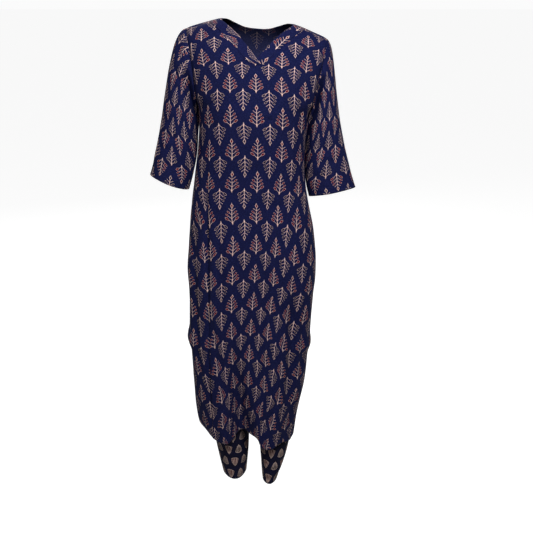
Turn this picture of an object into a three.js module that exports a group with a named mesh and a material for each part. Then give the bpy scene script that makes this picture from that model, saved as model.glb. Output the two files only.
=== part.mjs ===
// A straight, calf-length kurti with a crossed V-neck and elbow sleeves, worn over narrow pants.
// Millimetres, +Z up, front towards -Y, the wearer's left towards +X.
// The origin lies midway between the two neck points of the shoulder seams, where the wearer holds it.
import * as THREE from 'three';

// Cloth
const wall = 1.6;
const seamGap = 0.3;
const deepBlue = 0x262f5c;
const mutedBlue = 0x2b3054;

// Neck and shoulders
const neckHalf = 94;
const neckDepth = 88;
const neckBow = 9;
const shoulderSlope = 0.24;
const shoulderCurve = 0.00105;
const shoulderRound = 85;
const shoulderRidgeY = 5;
const seamTurn = THREE.MathUtils.degToRad(17);
const backNeckTurn = THREE.MathUtils.degToRad(40);
const shoulderHalf = 186;
const yokeArc = 90;
const edgeCrowding = 0.55;

// Armholes, slits and hem
const underarmZ = -225;
const slitZ = -900;
const hemZ = -1232;
const slitOpening = { front: 13, back: 9 };

// The whole figure leans: the wearer's left side hangs lower, more at the shoulders than at the hems.
const leanAtNeck = 0.075;
const leanChange = 0.034 / 1000;

function table(columns, rows) {
  return rows.map((row) => Object.fromEntries(columns.map((name, index) => [name, row[index]])));
}

// Outline of the kurti: middle and half width seen from the front, depth before and behind y = 0,
// and how square the section is, 2 being an ellipse. Above the underarm it is the shoulder's own outline.
const bodyOutline = table(
  ['z', 'middle', 'half', 'front', 'back', 'square'],
  [
    [-1250, -28, 143, 117, 111, 2.7],
    [-1140, -31, 158, 117, 116, 2.8],
    [-1027, -24, 171, 117, 120, 2.9],
    [-932, -22.5, 177, 117, 122, 2.9],
    [-900, -23, 185.5, 117, 122, 2.9],
    [-862, -21, 180.5, 117, 122, 2.9],
    [-754, -17, 182, 118, 122, 2.9],
    [-685, -16, 186, 118, 121, 2.9],
    [-614, -14, 182, 117, 116, 2.8],
    [-540, -15, 174, 115, 106, 2.7],
    [-469, -19, 162, 113, 94, 2.6],
    [-400, -19, 152, 114, 88, 2.5],
    [-323, -15, 146, 120, 91, 2.4],
    [-225, -10, 148, 124, 98, 2.4],
    [-195, -8, 162, 120, 100, 2.4],
    [-160, -6, 172, 115, 100, 2.4],
    [-120, -4, 182, 108, 98, 2.4],
    [-80, -2, 191, 98, 93, 2.4],
    [0, 0, 203, 72, 78, 2.4],
  ],
);

// Armhole edge: half width between the two armholes, by height.
const armholeEdge = table(
  ['z', 'half'],
  [
    [-225, 148],
    [-216, 150.5],
    [-195, 154.5],
    [-160, 160],
    [-120, 167],
    [-80, 175],
    [-25, shoulderHalf],
  ],
);

// The hems of front and back: how far above hemZ the edge lies, by its place across.
const hemEdge = {
  front: table(
    ['x', 'rise'],
    [
      [-195, 100],
      [-178, 76],
      [-160, 53],
      [-145, 41],
      [-130, 28],
      [-114, 20],
      [-84, 18],
      [-70, 27],
      [-56, 39],
      [-40, 43],
      [-18, 42],
      [1, 34],
      [12, 9],
      [28, 3],
      [48, 8],
      [66, 16],
      [92, 12],
      [110, 12],
      [124, 26],
      [136, 62],
    ],
  ),
  back: table(
    ['x', 'rise'],
    [
      [-195, 80],
      [-172, 26],
      [-130, 4],
      [-70, 6],
      [-20, 0],
      [40, 5],
      [80, 2],
      [112, 18],
      [140, 74],
    ],
  ),
};

// Soft vertical folds: a fold runs from its top to its low end, widens and deepens as it goes down,
// and fades out again where fade is above 0, the share of its length over which it ends.
const foldColumns = ['topX', 'topZ', 'lowX', 'lowZ', 'topWidth', 'lowWidth', 'depth', 'fade'];
const frontFolds = table(foldColumns, [
  [-74, -820, -48, -1250, 20, 40, 44, 0],
  [-58, -860, -18, -1250, 24, 36, 26, 0],
  [-133, -330, -138, -1090, 16, 18, 7, 0.45],
  [66, -860, 46, -1250, 26, 38, -9, 0],
  [-112, -960, -100, -1250, 22, 28, -9, 0],
  [104, -700, 100, -1250, 24, 34, 10, 0.2],
  [18, -520, 34, -980, 26, 34, 3.5, 0.5],
]);
const backFolds = table(foldColumns, [
  [-84, -420, -72, -1250, 24, 42, 18, 0],
  [38, -500, 26, -1250, 24, 42, 24, 0],
  [-20, -640, -26, -1250, 24, 36, -10, 0],
  [92, -600, 84, -1250, 22, 32, 14, 0],
  [-134, -760, -132, -1250, 18, 24, 8, 0],
]);

// Pants: outer and inner edge of each leg from the front, the depth of the cloth before and behind
// the leg's middle, and that middle for the wearer's right and left leg.
const legOutline = table(
  ['z', 'rightOut', 'rightIn', 'leftIn', 'leftOut', 'front', 'back', 'rightY', 'leftY'],
  [
    [-1400, -107, -35, 18, 61, 48, 50, 4, -24],
    [-1296, -128, -26, 11, 94, 54, 55, 4, -18],
    [-1180, -146, -24, 2, 113, 60, 63, 4, -12],
    [-1000, -164, -22, -8, 130, 70, 74, 3, -4],
    [-860, -180, -20, -14, 142, 80, 84, 2, 0],
    [-760, -189, -18.5, -15.5, 154, 90, 94, 0, 0],
    [-685, -199.2, -16.2, -15.8, 167.2, 96, 98, 0, 0],
    [-600, -189, -16.2, -15.8, 158, 98, 94, 0, 0],
    [-500, -164, -16.2, -15.8, 133, 95, 82, 0, 0],
    [-430, -146, -16.2, -15.8, 114, 90, 74, 0, 0],
  ],
);
const pantsTopZ = -430;
const pantsHemZ = -1382;
const forkTopZ = -585;
const crotchZ = -725;
const hemDip = { right: 11, left: 8 };
const waistbandHeight = 34;

// Sleeves: where the hem lies, its half width and depth, how much higher its outer and its front edge
// are. The outer line leaves the shoulder by capOut sideways and runs capRun straight on, and comes
// down to the hem from cuffRun above it, leaning by cuffLean. The line under the arm leaves by underOut.
const sleeves = [
  {
    name: 'sleeve_right',
    side: -1,
    hem: { x: -243.5, y: -14, z: -435, half: 51, depth: 53, outerRise: 18, frontRise: 3 },
    cap: { out: 0.97, run: 54, underOut: 0.12 },
    cuff: { lean: 0.3, run: 172 },
  },
  {
    name: 'sleeve_left',
    side: 1,
    hem: { x: 209.5, y: -14, z: -436, half: 62, depth: 50, outerRise: 17, frontRise: 7 },
    cap: { out: 0.7, run: 40, underOut: 0.03 },
    cuff: { lean: 0.32, run: 250 },
  },
];
const underRun = 70;
const underCuffRun = 90;
const underCuffLean = 0.12;

function clamp(value, low, high) {
  return Math.min(Math.max(value, low), high);
}

function mix(a, b, share) {
  return a + (b - a) * share;
}

function smoothStep(share) {
  const inside = clamp(share, 0, 1);
  return inside * inside * (3 - 2 * inside);
}

// A column of a table at a height, or at another key, on a smooth curve through its rows.
function columnAt(rows, column, place, key = 'z') {
  const last = rows.length - 1;
  let low = 0;
  while (low < last - 1 && rows[low + 1][key] <= place) {
    low += 1;
  }
  const slope = (index) => {
    const before = rows[Math.max(index - 1, 0)];
    const after = rows[Math.min(index + 1, last)];
    return (after[column] - before[column]) / (after[key] - before[key]);
  };
  const span = rows[low + 1][key] - rows[low][key];
  const t = clamp((place - rows[low][key]) / span, 0, 1);
  const startShare = (1 + 2 * t) * (1 - t) * (1 - t);
  const startRun = t * (1 - t) * (1 - t) * span;
  const endRun = t * t * (t - 1) * span;
  return (
    startShare * rows[low][column] +
    (1 - startShare) * rows[low + 1][column] +
    startRun * slope(low) +
    endRun * slope(low + 1)
  );
}

function lean(point) {
  const slope = leanAtNeck + leanChange * point.z;
  return new THREE.Vector3(point.x, point.y, point.z - slope * point.x);
}

// How far the folds push the cloth inwards at x, z.
function foldDepth(folds, x, z) {
  let depth = 0;
  for (const fold of folds) {
    const along = (fold.topZ - z) / (fold.topZ - fold.lowZ);
    if (along <= 0) {
      continue;
    }
    const width = mix(fold.topWidth, fold.lowWidth, along);
    const across = (x - mix(fold.topX, fold.lowX, along)) / width;
    if (Math.abs(across) >= 1) {
      continue;
    }
    const fading = smoothStep(along / fold.fade) * smoothStep((1 - along) / fold.fade);
    const grow = fold.fade > 0 ? fading : smoothStep(along);
    depth += fold.depth * grow * 0.5 * (1 + Math.cos(Math.PI * across));
  }
  return depth;
}

// Top line of the shoulder at x, measured from the middle of the neck.
function ridgeZ(x) {
  const out = Math.max(Math.abs(x) - neckHalf, 0);
  return -(shoulderSlope * out + shoulderCurve * out * out);
}

// Cloth of the yoke at x, z: turn is the angle from the ridge, negative where the back runs over it.
function yokePoint(face, x, z, turn) {
  const overRidge = turn < 0;
  const sign = face === 'front' || overRidge ? -1 : 1;
  const half = columnAt(bodyOutline, 'half', z);
  const square = columnAt(bodyOutline, 'square', z);
  const fullDepth = columnAt(bodyOutline, sign < 0 ? 'front' : 'back', z);
  const depth = fullDepth * Math.pow(Math.max(1 - Math.pow(Math.abs(x) / half, square), 0), 1 / square);
  const y = mix(shoulderRidgeY, sign * depth, Math.sin(Math.abs(turn)));
  const gap = z - underarmZ < 1e-6 && depth < 1e-3 ? (face === 'front' ? -0.5 : 0.5) * seamGap : 0;
  return new THREE.Vector3(x + columnAt(bodyOutline, 'middle', z), y + gap, z);
}

// Cloth of the front yoke straight from x and z.
function frontYokeAt(x, z) {
  const drop = ridgeZ(x) - z;
  const turn = drop < shoulderRound ? Math.acos(1 - drop / shoulderRound) : Math.PI / 2;
  return yokePoint('front', x, z, turn);
}

// How far the neckline bows up from a straight line between the V and the neck point.
function neckBowAt(share) {
  const inside = clamp(share, 0, 1);
  return 4 * neckBow * inside * (1 - inside);
}

function neckEdgeZ(x) {
  const seamDrop = shoulderRound * (1 - Math.cos(seamTurn));
  const share = Math.abs(x) / neckHalf;
  return neckBowAt(share) - mix(neckDepth, seamDrop, share);
}

// Where a column of the yoke ends: the angle from the ridge, and the share of its straight part.
function columnEnd(face, x) {
  const inNeck = Math.abs(x) < neckHalf - 1e-6;
  if (face === 'back') {
    const share = inNeck ? 1 - Math.pow(Math.abs(x) / neckHalf, 3) : 0;
    return { turn: mix(-seamTurn, backNeckTurn, share), straight: 1 };
  }
  if (!inNeck) {
    return { turn: seamTurn, straight: 1 };
  }
  const drop = -neckEdgeZ(x);
  if (drop < shoulderRound) {
    return { turn: Math.acos(1 - drop / shoulderRound), straight: 1 };
  }
  return { turn: Math.PI / 2, straight: (-drop - underarmZ) / (-shoulderRound - underarmZ) };
}

// Share of the half width at which a column stands: crowded to the sides on the body, even on top,
// with one column exactly at the neck point.
const neckColumn = 0.5;

function columnShare(u, up) {
  const along = Math.abs(u);
  const square = columnAt(bodyOutline, 'square', underarmZ);
  const onBody = Math.pow(Math.sin((along * Math.PI) / 2), 2 / square);
  const neckShare = neckHalf / shoulderHalf;
  const pastNeck = (along - neckColumn) / (1 - neckColumn);
  const onTop = along < neckColumn ? (along / neckColumn) * neckShare : mix(neckShare, 1, pastNeck);
  return Math.sign(u) * mix(onBody, onTop, smoothStep(up));
}

// The run of a yoke column that ends at x: a straight part up from the underarm, then the shoulder's arc.
function columnRun(face, x) {
  const end = columnEnd(face, x);
  const straight = (ridgeZ(x) - shoulderRound - underarmZ) * end.straight;
  return { straight, arc: yokeArc * (Math.PI / 2 - end.turn), straightShare: end.straight };
}

// Angle from the ridge and share of the straight part, at a share of the column's run.
function placeOnRun(run, up, crowding) {
  const travelled = (run.straight + run.arc) * Math.pow(up, crowding);
  const past = Math.max(travelled - run.straight, 0);
  const straight = Math.min(travelled / run.straight, 1) * run.straightShare;
  return { turn: Math.PI / 2 - past / yokeArc, straight };
}

function heightOnRun(x, place) {
  if (place.turn < Math.PI / 2) {
    return ridgeZ(x) - shoulderRound * (1 - Math.cos(place.turn));
  }
  return mix(underarmZ, ridgeZ(x) - shoulderRound, place.straight);
}

// Cloth above the underarm: u runs from the wearer's right armhole to the left, up from the underarm.
function yokeColumnPoint(face, u, up) {
  const edgePlace = placeOnRun(columnRun(face, shoulderHalf), up, 1 + edgeCrowding);
  const edgeHalf = columnAt(armholeEdge, 'half', heightOnRun(shoulderHalf, edgePlace));
  const x = columnShare(u, up) * edgeHalf;
  const crowding = 1 + edgeCrowding * Math.pow(Math.abs(u), 4);
  const place = placeOnRun(columnRun(face, columnShare(u, 1) * shoulderHalf), up, crowding);
  return yokePoint(face, x, heightOnRun(x, place), place.turn);
}

// Cloth below the underarm, down to the slits and on to the hem.
function skirtPoint(face, u, z, hemShare) {
  const sign = face === 'front' ? -1 : 1;
  const opening = slitOpening[face] * smoothStep(hemShare);
  const angle = u * THREE.MathUtils.degToRad(90 - opening);
  const square = columnAt(bodyOutline, 'square', z);
  const half = columnAt(bodyOutline, 'half', z);
  const x = half * Math.sign(angle) * Math.pow(Math.abs(Math.sin(angle)), 2 / square);
  const depth = columnAt(bodyOutline, face, z) * Math.pow(Math.max(Math.cos(angle), 0), 2 / square);
  const place = x + columnAt(bodyOutline, 'middle', z);
  const folds = face === 'front' ? frontFolds : backFolds;
  const edgeCalm = smoothStep((1 - Math.abs(u)) / 0.16);
  const inwards = foldDepth(folds, place, z) * edgeCalm;
  return new THREE.Vector3(place, sign * (Math.max(depth - inwards, 0) + 0.5 * seamGap), z);
}

function hemHeight(face, u) {
  return hemZ + columnAt(hemEdge[face], 'rise', skirtPoint(face, u, hemZ, 1).x, 'x');
}

// A cloth wall from its outer points: rows of columns, closed round in the columns where wrap is set.
// At a seam, squareAtSeam turns the wall's direction so that its cut edge stays on its own side.
function clothWall(rows, { wrap = false, flip = false, squareAtSeam = () => {} } = {}) {
  const rowCount = rows.length;
  const columnCount = rows[0].length;
  const beside = (index, step) => {
    const next = index + step;
    return wrap ? (next + columnCount) % columnCount : clamp(next, 0, columnCount - 1);
  };
  const inner = rows.map((row, i) =>
    row.map((point, j) => {
      const across = rows[i][beside(j, 1)].clone().sub(rows[i][beside(j, -1)]);
      const along = rows[Math.min(i + 1, rowCount - 1)][j].clone().sub(rows[Math.max(i - 1, 0)][j]);
      const normal = across.cross(along).multiplyScalar(flip ? -1 : 1);
      squareAtSeam(normal.normalize(), i, j, point);
      return point.clone().addScaledVector(normal.normalize(), -wall);
    }),
  );
  const positions = [];
  for (const point of [...rows.flat(), ...inner.flat()]) {
    positions.push(point.x, point.y, point.z);
  }
  const outerIndex = (i, j) => i * columnCount + (j % columnCount);
  const innerIndex = (i, j) => rowCount * columnCount + outerIndex(i, j);
  const indices = [];
  const quad = (a, b, c, d) => {
    if (flip) {
      indices.push(a, c, b, a, d, c);
    } else {
      indices.push(a, b, c, a, c, d);
    }
  };
  const columnSteps = wrap ? columnCount : columnCount - 1;
  for (let i = 0; i < rowCount - 1; i += 1) {
    for (let j = 0; j < columnSteps; j += 1) {
      quad(outerIndex(i, j), outerIndex(i, j + 1), outerIndex(i + 1, j + 1), outerIndex(i + 1, j));
      quad(innerIndex(i, j), innerIndex(i + 1, j), innerIndex(i + 1, j + 1), innerIndex(i, j + 1));
    }
  }
  for (let j = 0; j < columnSteps; j += 1) {
    const top = rowCount - 1;
    quad(outerIndex(0, j + 1), outerIndex(0, j), innerIndex(0, j), innerIndex(0, j + 1));
    quad(outerIndex(top, j), outerIndex(top, j + 1), innerIndex(top, j + 1), innerIndex(top, j));
  }
  if (!wrap) {
    const end = columnCount - 1;
    for (let i = 0; i < rowCount - 1; i += 1) {
      quad(outerIndex(i, 0), outerIndex(i + 1, 0), innerIndex(i + 1, 0), innerIndex(i, 0));
      quad(outerIndex(i + 1, end), outerIndex(i, end), innerIndex(i, end), innerIndex(i + 1, end));
    }
  }
  const geometry = new THREE.BufferGeometry();
  geometry.setAttribute('position', new THREE.Float32BufferAttribute(positions, 3));
  geometry.setIndex(indices);
  geometry.computeVertexNormals();
  return geometry;
}

function clothMesh(name, geometry, color) {
  const material = new THREE.MeshStandardMaterial({ color, roughness: 0.85, metalness: 0, side: THREE.DoubleSide });
  const mesh = new THREE.Mesh(geometry, material);
  mesh.name = name;
  return mesh;
}

function steps(count, from, to) {
  return Array.from({ length: count + 1 }, (_, index) => mix(from, to, index / count));
}

// Front and back of the kurti
const panelColumns = { front: 32, back: 24 };
const hemSteps = { front: 8, back: 6 };
const waistSteps = { front: 13, back: 9 };
const yokeSteps = 11;

function kurtiPanel(face) {
  const across = steps(panelColumns[face], -1, 1);
  const rows = [];
  for (const share of steps(hemSteps[face], 1, 0).slice(0, -1)) {
    rows.push(across.map((u) => skirtPoint(face, u, mix(slitZ, hemHeight(face, u), share), share)));
  }
  for (const z of steps(waistSteps[face], slitZ, underarmZ).slice(0, -1)) {
    rows.push(across.map((u) => skirtPoint(face, u, z, 0)));
  }
  for (const up of steps(yokeSteps, 0, 1)) {
    rows.push(across.map((u) => yokeColumnPoint(face, u, up)));
  }
  if (face === 'back') {
    const top = rows.length - 1;
    rows[top].forEach((point) => {
      point.y += 3 * seamGap;
    });
  }
  const leaned = rows.map((row) => row.map(lean));
  const underarmRow = rows.length - 1 - yokeSteps;
  const squareAtSeam = (normal, i, j, point) => {
    const onSideEdge = j === 0 || j === across.length - 1;
    if (onSideEdge && i <= underarmRow) {
      normal.y = 0;
    }
    if (i === rows.length - 1 && Math.abs(point.x) > neckHalf - 1) {
      normal.set(Math.sign(point.x) * shoulderSlope, -Math.tan(seamTurn), 1);
    }
  };
  return clothMesh(`kurti_${face}`, clothWall(leaned, { flip: face === 'back', squareAtSeam }), deepBlue);
}

// Neck bands: strips on the front from the shoulder seam to the V, the right one over the left one.
const bandOnSeam = 27;
const bandBelowV = 34;
const overBandDrop = 12;
const bandLift = 0.7;
const bandSteps = 14;
const bandWidthSteps = 3;

function neckBand(name, side) {
  const edgeSlope = (neckDepth + neckEdgeZ(neckHalf)) / neckHalf;
  const rows = steps(bandWidthSteps, 0, 1).map((width) => {
    const seamX = neckHalf + bandOnSeam * width;
    const seamZ = ridgeZ(seamX) - shoulderRound * (1 - Math.cos(seamTurn)) - 0.5 * seamGap;
    const middleZ = -neckDepth - bandBelowV * width;
    const slope = (seamZ - middleZ) / seamX;
    const overEnd = (-neckDepth - overBandDrop - middleZ) / slope;
    const underEnd = (bandBelowV * width) / (slope + edgeSlope) + 2 * seamGap;
    const endX = side < 0 ? overEnd : underEnd;
    return steps(bandSteps, 0, 1).map((along) => {
      const x = mix(seamX, endX, along);
      return frontYokeAt(side * x, middleZ + slope * x + neckBowAt(x / seamX));
    });
  });
  const raised = rows.map((row, i) =>
    row.map((point, j) => {
      const along = row[Math.min(j + 1, bandSteps)].clone().sub(row[Math.max(j - 1, 0)]);
      const across = rows[Math.min(i + 1, bandWidthSteps)][j].clone().sub(rows[Math.max(i - 1, 0)][j]);
      const normal = along.cross(across).normalize();
      const outward = normal.y > 0 ? -1 : 1;
      return lean(point.clone().addScaledVector(normal, outward * (wall + bandLift)));
    }),
  );
  return clothMesh(name, clothWall(raised, { flip: side < 0 }), deepBlue);
}

// A sleeve: one tube whose lines run from the armhole edge to the hem.
const sleeveSteps = 9;
const armholeGap = 0.5;

function sleeveMesh(shape) {
  const ups = steps(yokeSteps, 1, 0);
  const frontEdge = ups.map((up) => yokeColumnPoint('front', shape.side, up));
  const backEdge = ups.map((up) => yokeColumnPoint('back', shape.side, up)).slice(1, -1).reverse();
  const armhole = [...frontEdge, ...backEdge];
  const count = armhole.length;
  const lines = armhole.map((edge, index) => {
    const angle = (2 * Math.PI * index) / count;
    const under = 0.5 * (1 - Math.cos(angle));
    const start = edge.clone();
    start.x += shape.side * armholeGap;
    const end = new THREE.Vector3(
      shape.hem.x + shape.side * shape.hem.half * Math.cos(angle),
      shape.hem.y - shape.hem.depth * Math.sin(angle),
      shape.hem.z + shape.hem.outerRise * Math.cos(angle) + shape.hem.frontRise * Math.sin(angle),
    );
    const outwards = mix(shape.cap.out, shape.cap.underOut, under);
    const forwards = -0.12 * Math.sin(angle);
    const leave = new THREE.Vector3(shape.side * outwards, forwards, -Math.sqrt(1 - outwards * outwards));
    const firstHandle = start.clone().addScaledVector(leave, mix(shape.cap.run, underRun, under));
    const inwards = -shape.side * mix(shape.cuff.lean, underCuffLean, under);
    const rise = new THREE.Vector3(inwards, 0.05, 1).normalize();
    const secondHandle = end.clone().addScaledVector(rise, mix(shape.cuff.run, underCuffRun, under));
    return new THREE.CubicBezierCurve3(start, firstHandle, secondHandle, end);
  });
  const rows = steps(sleeveSteps, 0, 1).map((share) => lines.map((line) => lean(line.getPoint(share))));
  const squareAtSeam = (normal, i) => {
    if (i === 0) {
      normal.x = 0;
    }
  };
  return clothMesh(shape.name, clothWall(rows, { wrap: true, flip: shape.side < 0, squareAtSeam }), deepBlue);
}

// A quarter of the pants: half round the leg, opening out above the fork to a quarter of the hips.
function pantsPoint(leg, face, across, z) {
  const sign = face === 'front' ? -1 : 1;
  const outX = columnAt(legOutline, `${leg}Out`, z);
  const inX = columnAt(legOutline, `${leg}In`, z);
  const closing = smoothStep((forkTopZ - z) / (forkTopZ - crotchZ));
  const endSine = Math.sin(0.5 * Math.PI * closing);
  const radius = (inX - outX) / (1 + endSine);
  const angle = mix(-0.5 * Math.PI, 0.5 * Math.PI * closing, across);
  const x = outX + radius * (1 + Math.sin(angle));
  const depth = columnAt(legOutline, face, z) * Math.cos(angle);
  return new THREE.Vector3(x, columnAt(legOutline, `${leg}Y`, z) + sign * (depth + 0.5 * seamGap), z);
}

const legColumns = 8;
const legSteps = 15;

function pantsPanel(leg, face) {
  const rows = steps(legSteps, 0, 1).map((up) =>
    steps(legColumns, 0, 1).map((across) => {
      const dip = face === 'front' ? hemDip[leg] * Math.sin(Math.PI * across) : 0;
      return lean(pantsPoint(leg, face, across, mix(pantsHemZ - dip, pantsTopZ, up)));
    }),
  );
  const flip = (leg === 'left') !== (face === 'back');
  const inwards = leg === 'right' ? 1 : -1;
  const squareAtSeam = (normal, i, j, point) => {
    if (j === 0 || (j === legColumns && point.z < crotchZ)) {
      normal.y = 0;
    }
    if (j === legColumns && normal.x * inwards < 0) {
      normal.x = 0;
    }
    if (i === legSteps) {
      normal.z = 0;
    }
  };
  return clothMesh(`pants_${leg}_${face}`, clothWall(rows, { flip, squareAtSeam }), mutedBlue);
}

// The waistband: one gathered ring that stands on the top edge of the pants.
const waistbandColumns = 6;

function waistband() {
  const quarter = steps(waistbandColumns, 0, 1).slice(0, -1);
  const ring = (z) => [
    ...quarter.map((across) => pantsPoint('right', 'front', across, z)),
    ...quarter.map((across) => pantsPoint('left', 'front', 1 - across, z)),
    ...quarter.map((across) => pantsPoint('left', 'back', across, z)),
    ...quarter.map((across) => pantsPoint('right', 'back', 1 - across, z)),
  ];
  const rows = steps(2, pantsTopZ + seamGap, pantsTopZ + waistbandHeight).map((z) =>
    ring(pantsTopZ).map((point) => lean(new THREE.Vector3(point.x, point.y, z))),
  );
  return clothMesh('pants_waistband', clothWall(rows, { wrap: true }), mutedBlue);
}

const kurti = new THREE.Group();
kurti.add(kurtiPanel('front'), kurtiPanel('back'));
kurti.add(neckBand('neckband_right', -1), neckBand('neckband_left', 1));
for (const shape of sleeves) {
  kurti.add(sleeveMesh(shape));
}

const pants = new THREE.Group();
for (const leg of ['right', 'left']) {
  for (const face of ['front', 'back']) {
    pants.add(pantsPanel(leg, face));
  }
}
pants.add(waistband());

const set = new THREE.Group();
set.add(kurti, pants);

export default set;
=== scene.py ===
"""Looks of a printed kurti with matching pants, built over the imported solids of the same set.

Shapes are worked out in millimetres in the solids' own frame: +Z up, front towards -Y, the wearer's
left towards +X. Each finished mesh is scaled to metres once, when it is made.
"""
import math

import bmesh
import bpy
import numpy as np
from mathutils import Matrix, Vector


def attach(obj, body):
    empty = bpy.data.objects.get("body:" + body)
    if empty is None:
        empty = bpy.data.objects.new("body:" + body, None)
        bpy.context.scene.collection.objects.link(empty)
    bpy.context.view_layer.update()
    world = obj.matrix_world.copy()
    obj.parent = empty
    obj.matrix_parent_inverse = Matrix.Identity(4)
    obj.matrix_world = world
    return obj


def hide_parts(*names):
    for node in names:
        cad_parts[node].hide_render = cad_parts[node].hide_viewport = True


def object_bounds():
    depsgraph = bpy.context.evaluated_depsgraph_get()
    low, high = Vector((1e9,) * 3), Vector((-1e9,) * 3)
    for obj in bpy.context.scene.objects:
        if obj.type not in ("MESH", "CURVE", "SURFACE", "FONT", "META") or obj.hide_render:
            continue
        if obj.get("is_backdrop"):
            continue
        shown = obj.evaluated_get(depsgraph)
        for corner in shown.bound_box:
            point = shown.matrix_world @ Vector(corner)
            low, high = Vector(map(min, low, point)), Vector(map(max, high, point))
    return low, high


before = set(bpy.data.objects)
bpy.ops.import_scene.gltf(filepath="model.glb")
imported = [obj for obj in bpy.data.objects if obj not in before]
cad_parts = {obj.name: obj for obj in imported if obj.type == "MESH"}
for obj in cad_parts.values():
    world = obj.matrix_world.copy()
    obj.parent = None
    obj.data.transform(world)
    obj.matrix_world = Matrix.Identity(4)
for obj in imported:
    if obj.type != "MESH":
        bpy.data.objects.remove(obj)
cad_low, cad_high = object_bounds()

# Camera: the photograph was taken from chest height, about 1.9 m away, looking down at the hem.
# The picture is 533 pixels wide, its focal length is 700 of them, and the view is shifted by 12.
picture_width = 533
focal_pixels = 700
shift_pixels = 12
sensor_width = 36
camera_tilt = 20.4
camera_data = bpy.data.cameras.new("camera")
camera_data.sensor_width = sensor_width
camera_data.lens = sensor_width * focal_pixels / picture_width
camera_data.shift_x = shift_pixels / picture_width
camera = bpy.data.objects.new("camera", camera_data)
camera.location = (-0.0075, -1.920, 0.036)
camera.rotation_euler = (math.radians(90 - camera_tilt), 0, 0)
bpy.context.scene.collection.objects.link(camera)
bpy.context.scene.camera = camera

# Front and back of the kurti: two long cotton panels, cut straight, sewn at the shoulders and sides
# down to the slits, and left open below them. Both hang from the shoulders in soft vertical folds.
# Sewn pieces overlap by a hair, so that no light shows between them.
cloth_thickness = 0.9
seam_overlap = 0.3
neck_half = 94
neck_depth = 88
neck_bow = 9
shoulder_slope = 0.24
shoulder_curve = 0.00105
shoulder_round = 85
shoulder_ridge_y = 5
seam_turn = math.radians(17)
back_neck_turn = math.radians(40)
shoulder_half = 186
yoke_arc = 90
edge_crowding = 0.55
neck_column = 0.5
underarm_z = -225
slit_z = -900
hem_z = -1232
slit_opening = {"front": 13, "back": 9}
lean_at_neck = 0.075
lean_change = 0.034 / 1000
fold_margin = 0.16
hem_rows = 72
waist_rows = 132
yoke_rows = 60
panel_columns = 128


def table(columns, rows):
    """Rows of numbers under column names, as one array for each column."""
    return dict(zip(columns.split(), np.array(rows, float).T))


body_outline = table(
    "z middle half front back square",
    [
        (-1250, -28, 143, 117, 111, 2.7),
        (-1140, -31, 158, 117, 116, 2.8),
        (-1027, -24, 171, 117, 120, 2.9),
        (-932, -22.5, 177, 117, 122, 2.9),
        (-900, -23, 185.5, 117, 122, 2.9),
        (-862, -21, 180.5, 117, 122, 2.9),
        (-754, -17, 182, 118, 122, 2.9),
        (-685, -16, 186, 118, 121, 2.9),
        (-614, -14, 182, 117, 116, 2.8),
        (-540, -15, 174, 115, 106, 2.7),
        (-469, -19, 162, 113, 94, 2.6),
        (-400, -19, 152, 114, 88, 2.5),
        (-323, -15, 146, 120, 91, 2.4),
        (-225, -10, 148, 124, 98, 2.4),
        (-195, -8, 162, 120, 100, 2.4),
        (-160, -6, 172, 115, 100, 2.4),
        (-120, -4, 182, 108, 98, 2.4),
        (-80, -2, 191, 98, 93, 2.4),
        (0, 0, 203, 72, 78, 2.4),
    ],
)
armhole_edge = table(
    "z half",
    [
        (-225, 148),
        (-216, 150.5),
        (-195, 154.5),
        (-160, 160),
        (-120, 167),
        (-80, 175),
        (-25, shoulder_half),
    ],
)
hem_edge = {
    "front": table(
        "x rise",
        [
            (-195, 100),
            (-178, 76),
            (-160, 53),
            (-145, 41),
            (-130, 28),
            (-114, 20),
            (-84, 18),
            (-70, 27),
            (-56, 39),
            (-40, 43),
            (-18, 42),
            (1, 34),
            (12, 9),
            (28, 3),
            (48, 8),
            (66, 16),
            (92, 12),
            (110, 12),
            (124, 26),
            (136, 62),
        ],
    ),
    "back": table(
        "x rise",
        [
            (-195, 80),
            (-172, 26),
            (-130, 4),
            (-70, 6),
            (-20, 0),
            (40, 5),
            (80, 2),
            (112, 18),
            (140, 74),
        ],
    ),
}
fold_columns = "top_x top_z low_x low_z top_width low_width depth fade"
folds = {
    "front": table(
        fold_columns,
        [
            (-74, -820, -48, -1250, 20, 40, 44, 0),
            (-58, -860, -18, -1250, 24, 36, 26, 0),
            (-133, -330, -138, -1090, 16, 18, 7, 0.45),
            (66, -860, 46, -1250, 26, 38, -9, 0),
            (-112, -960, -100, -1250, 22, 28, -9, 0),
            (104, -700, 100, -1250, 24, 34, 10, 0.2),
            (18, -520, 34, -980, 26, 34, 3.5, 0.5),
        ],
    ),
    "back": table(
        fold_columns,
        [
            (-84, -420, -72, -1250, 24, 42, 18, 0),
            (38, -500, 26, -1250, 24, 42, 24, 0),
            (-20, -640, -26, -1250, 24, 36, -10, 0),
            (92, -600, 84, -1250, 22, 32, 14, 0),
            (-134, -760, -132, -1250, 18, 24, 8, 0),
        ],
    ),
}


def mix(a, b, share):
    return a + (b - a) * share


def smooth_step(share):
    inside = np.clip(share, 0, 1)
    return inside * inside * (3 - 2 * inside)


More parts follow.
